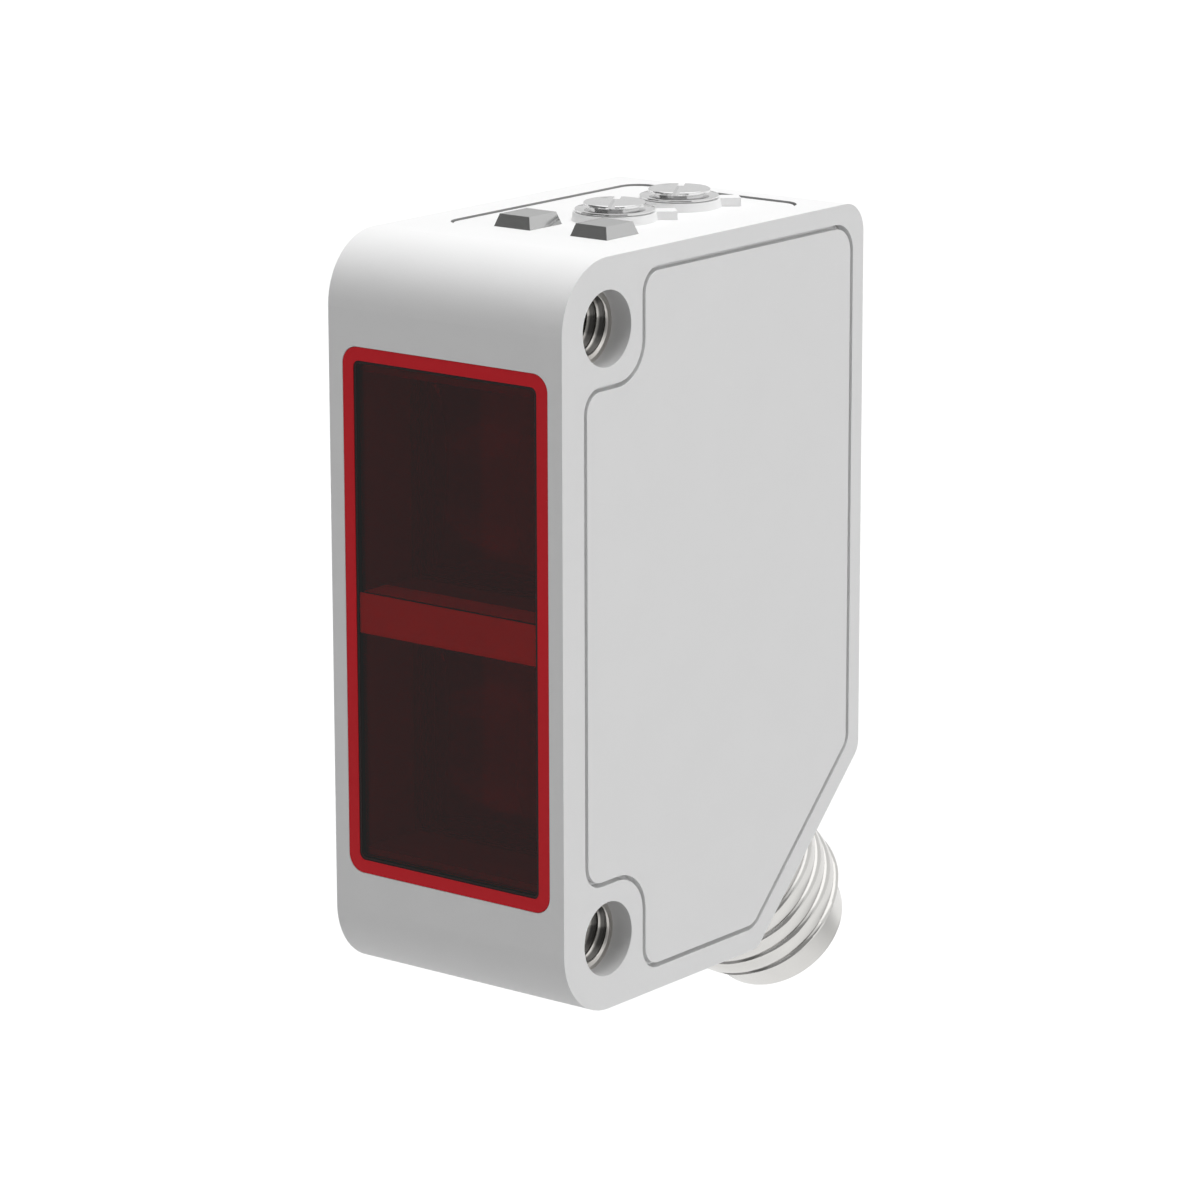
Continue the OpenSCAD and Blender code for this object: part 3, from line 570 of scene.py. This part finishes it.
def plug_shell(shell_finish, thread_finish):
    """M8 x 1 shell: thread with chamfered ends, plain nose, socket, neck and seal groove."""
    pitch, turns, lead = 1.0, 9, -1.76
    start, end, tip, socket_ring = 0.7, 6.6, 8.7, 3.0
    seal_top, seal_foot, wall_inside, back, step = -0.45, -1.15, -1.53, -2.43, 0.3
    start_chamfer_r, end_chamfer_r = 3.36, 3.86
    nose_r, socket_r, neck_r, seal_r, thread_floor_r = 3.25, 2.75, 3.5, 2.95, 3.4
    groove = [(0.0, 0.24), (0.05, 0.17), (0.10, 0.10), (0.15, 0.05), (0.22, 0.02), (0.32, 0.006),
              (0.48, 0.0), (0.66, 0.006), (0.78, 0.025), (0.86, 0.055), (0.92, 0.11), (0.96, 0.17)]
    bm = screwed([(share, CREST_R - depth) for share, depth in groove], pitch, turns, steps=96)
    bmesh.ops.translate(bm, vec=(0, 0, lead), verts=bm.verts)
    trimmed(bm, start, end, spacing=0.08, reach=0.64)
    for vert in bm.verts:
        height = vert.co.z
        allowed = min(start_chamfer_r + max(0.0, height - start), end_chamfer_r + max(0.0, end - height))
        if from_axis(vert) > allowed:
            set_ring([vert], allowed, height)
    nose = drawn_on(bm, open_ring(bm, end), [
        (nose_r + 0.02, end + 0.02), (nose_r, end + 0.07), (nose_r, tip - 0.25),
        (nose_r - 0.03, tip - 0.1), (nose_r - 0.12, tip - 0.02), (nose_r - 0.25, tip),
        (socket_r + 0.1, tip), (socket_r + 0.03, tip - 0.03), (socket_r, tip - 0.1),
        (socket_r, socket_ring), (socket_r, back)])
    neck = drawn_on(bm, open_ring(bm, start), [
        (start_chamfer_r, start - 0.08), (neck_r, start - 0.15), (neck_r, seal_top),
        (seal_r, seal_top), (seal_r, seal_foot), (neck_r, seal_foot), (neck_r, wall_inside),
        (neck_r - step, wall_inside), (neck_r - step, back)])
    bmesh.ops.bridge_loops(bm, edges=nose + neck)
    closed(bm)
    for face in bm.faces:
        middle = face.calc_center_median()
        outside = math.hypot(middle.x, middle.y) > thread_floor_r
        face.material_index = int(start < middle.z < end and outside)
    tilt = Matrix.Rotation(math.radians(PLUG_TILT), 4, "X")
    placed(bm, Matrix.Translation(Vector(PLUG_ORIGIN) * MM) @ tilt)
    fitted(finished(bm, "threaded_plug_shell"), "plug_shell", [shell_finish, thread_finish])


def sleeve(name, node, height):
    """M3 x 0.5 sleeve: cut thread inside, chamfers at both ends."""
    pitch, turns, lead, chamfer = 0.5, 23, 0.17, 0.09
    groove = [(0.0, 0.0), (0.08, 0.0), (0.14, 0.02), (0.42, 0.22),
              (0.5, 0.25), (0.6, 0.25), (0.68, 0.22), (0.94, 0.02)]
    bm = screwed([(share, BORE_R + depth) for share, depth in groove], pitch, turns, steps=64)
    bmesh.ops.translate(bm, vec=(0, 0, lead - turns * pitch / 2), verts=bm.verts)
    trimmed(bm, -SLEEVE_HALF, SLEEVE_HALF, spacing=0.03, reach=0.1)
    for vert in bm.verts:
        allowed = BORE_R + chamfer - max(0.0, SLEEVE_HALF - abs(vert.co.z))
        if from_axis(vert) < allowed:
            set_ring([vert], allowed, vert.co.z)
    front = drawn_on(bm, open_ring(bm, SLEEVE_HALF), [(SLEEVE_R, SLEEVE_HALF)])
    back = drawn_on(bm, open_ring(bm, -SLEEVE_HALF), [(SLEEVE_R, -SLEEVE_HALF)])
    bmesh.ops.bridge_loops(bm, edges=front + back)
    closed(bm)
    for face in bm.faces:
        face.material_index = int(abs(face.calc_center_median().z) < SLEEVE_HALF - chamfer)
    placed(bm, Matrix.Translation((0, 0, height * MM)) @ Matrix.Rotation(math.radians(90), 4, "Y"))
    colour, centre, axis = (0.62, 0.60, 0.57), (0, 0, height), (1, 0, 0)
    ends = turned_metal(name + "_ends", colour, centre, axis, roughness=0.35)
    # The thread's roots get painted shade
    roots = (BORE_R + 0.11, BORE_R, 0.16)
    thread = turned_metal(name + "_thread", colour, centre, axis, roughness=0.18, roots=roots)
    fitted(finished(bm, name), node, [ends, thread])


def eased_carrier():
    """The optics carrier with its front rims a hair behind the pane, so that light reaches them."""
    bm = copied("optics_carrier")
    front = min(vert.co.y for vert in bm.verts)
    rims = [vert for vert in bm.verts if vert.co.y < front + RIM_GAP / 2]
    bmesh.ops.translate(bm, vec=(0, RIM_GAP, 0), verts=rims)
    bmesh.ops.recalc_face_normals(bm, faces=bm.faces)
    bmesh.ops.scale(bm, vec=(MM, MM, MM), verts=bm.verts)
    fitted(finished(bm, "eased_carrier"), "optics_carrier", [carrier_black])


def softened_dial(name, node, body, centre, material):
    """The dial with its flange rounded at the top and undercut where it meets the collar."""
    bm = copied(node)
    middle = Vector(centre)
    bmesh.ops.translate(bm, vec=-middle, verts=bm.verts)
    bmesh.ops.dissolve_limit(bm, angle_limit=math.radians(0.5), verts=bm.verts, edges=bm.edges)
    flange_top, flange_foot, flange_edge = 0.42, 0.30, 1.67
    for height, offset, segments in ((flange_top, 0.012, 2), (flange_foot, 0.035, 1)):
        rim = [e for e in bm.edges if all(
            from_axis(v) > flange_edge and abs(v.co.z - height) < 0.01 for v in e.verts)]
        bmesh.ops.bevel(
            bm, geom=rim, offset=offset, offset_type="OFFSET", segments=segments, profile=0.5,
            affect="EDGES", material=-1, clamp_overlap=True)
    bmesh.ops.recalc_face_normals(bm, faces=bm.faces)
    bmesh.ops.translate(bm, vec=middle, verts=bm.verts)
    bmesh.ops.scale(bm, vec=(MM, MM, MM), verts=bm.verts)
    fitted(finished(bm, name), node, [material], body)


# The part's finishes

shell_white = moulding("shell_white", (0.85, 0.85, 0.85), 0.55)
# The housing's white, with painted shade in the cover's seat and the fixing holes
housing_white = moulding("housing_white", (0.85, 0.85, 0.85), 0.55, shade=recess_shade)
window_red = moulding("window_red", (0.68, 0.005, 0.015), 0.45, level=0.3)
window_sealant = moulding("window_sealant", (0.04, 0.028, 0.028), 0.7, grain=12, level=0.2)
seal_rubber = moulding("seal_rubber", (0.016, 0.016, 0.017), 0.7, grain=12, level=0.3)
# Black carrier, with painted shade in the lens groove and on the upright front rims
carrier_black = moulding("carrier_black", (0.09, 0.08, 0.08), 0.6, level=0.2, shade=carrier_shade)
insert_black = moulding("insert_black", (0.02, 0.02, 0.021), 0.5)
light_pipe = moulding(
    "light_pipe", (0.12, 0.124, 0.118), 0.12, swing=0.06, depth=0.0003, level=0.8, index=4.0)
source_white = moulding("source_white", (0.75, 0.72, 0.62), 0.4)
sensor_dark = moulding("sensor_dark", (0.05, 0.05, 0.055), 0.3)
board_green = moulding("board_green", (0.02, 0.16, 0.07), 0.4, grain=3.0, tone=0.25)
chip_black = moulding("chip_black", (0.025, 0.025, 0.027), 0.55, grain=14)
capacitor_tan = moulding("capacitor_tan", (0.42, 0.27, 0.13), 0.5)
trimmer_blue = moulding("trimmer_blue", (0.03, 0.07, 0.35), 0.45)
filter_glass = clear_part("filter_glass", (0.73, 0.012, 0.012), 0.03)
lens_glass = clear_part("lens_glass", (0.3, 0.26, 0.26), 0.05, level=0.3)
plug_nickel = turned_metal("plug_nickel", (0.70, 0.69, 0.67), PLUG_ORIGIN, PLUG_AXIS)
# Nickel of the plug thread, with painted shade in the thread roots
thread_nickel = turned_metal(
    "thread_nickel", (0.70, 0.69, 0.67), PLUG_ORIGIN, PLUG_AXIS,
    roots=(CREST_R - 0.24, CREST_R - 0.15, 0.6))
front_chrome = turned_metal("front_chrome", (0.82, 0.82, 0.82), DIAL_1, (0, 0, 1), roughness=0.12)
rear_chrome = turned_metal("rear_chrome", (0.82, 0.82, 0.82), DIAL_2, (0, 0, 1), roughness=0.12)
contact_gold = turned_metal("contact_gold", (0.83, 0.58, 0.22), PLUG_ORIGIN, PLUG_AXIS)

FINISH = {
    "housing": housing_white, "side_cover": shell_white, "top_cover": shell_white,
    "window_frame": window_red, "window_filter": filter_glass, "window_seal": window_sealant,
    "emitter_lens": lens_glass, "receiver_lens": lens_glass, "emitter_led": source_white,
    "receiver_diode": sensor_dark, "optics_board": board_green,
    "main_board": board_green, "signal_chip": chip_black, "driver_chip": chip_black,
    "storage_capacitor": capacitor_tan, "top_board": board_green,
    "sensitivity_trimmer": trimmer_blue, "mode_trimmer": trimmer_blue,
    "sensitivity_seal": seal_rubber, "mode_seal": seal_rubber,
    "indicator_window_left": light_pipe, "indicator_window_right": light_pipe,
    "indicator_led_left": source_white, "indicator_led_right": source_white,
    "plug_insert": insert_black, "plug_pin_1": contact_gold, "plug_pin_2": contact_gold,
    "plug_pin_3": contact_gold, "plug_pin_4": contact_gold, "plug_seal": seal_rubber,
    "plug_ring": plug_nickel, "plug_board": board_green,
}


def finish_nodes():
    """Gives its finish to each CAD node that no piece replaces."""
    for name, material in FINISH.items():
        slots = nodes[name].data.materials
        slots.clear()
        slots.append(material)


camera()
studio()
finish_nodes()
eased_carrier()
softened_dial("softened_sensitivity_dial", "sensitivity_dial", "sensitivity_knob", DIAL_1, front_chrome)
softened_dial("softened_mode_dial", "mode_dial", "mode_knob", DIAL_2, rear_chrome)
plug_shell(plug_nickel, thread_nickel)
sleeve("threaded_sleeve_upper", "upper_sleeve", HOLE_Z)
sleeve("threaded_sleeve_lower", "lower_sleeve", -HOLE_Z)

bpy.context.scene.view_settings.view_transform = "Standard"
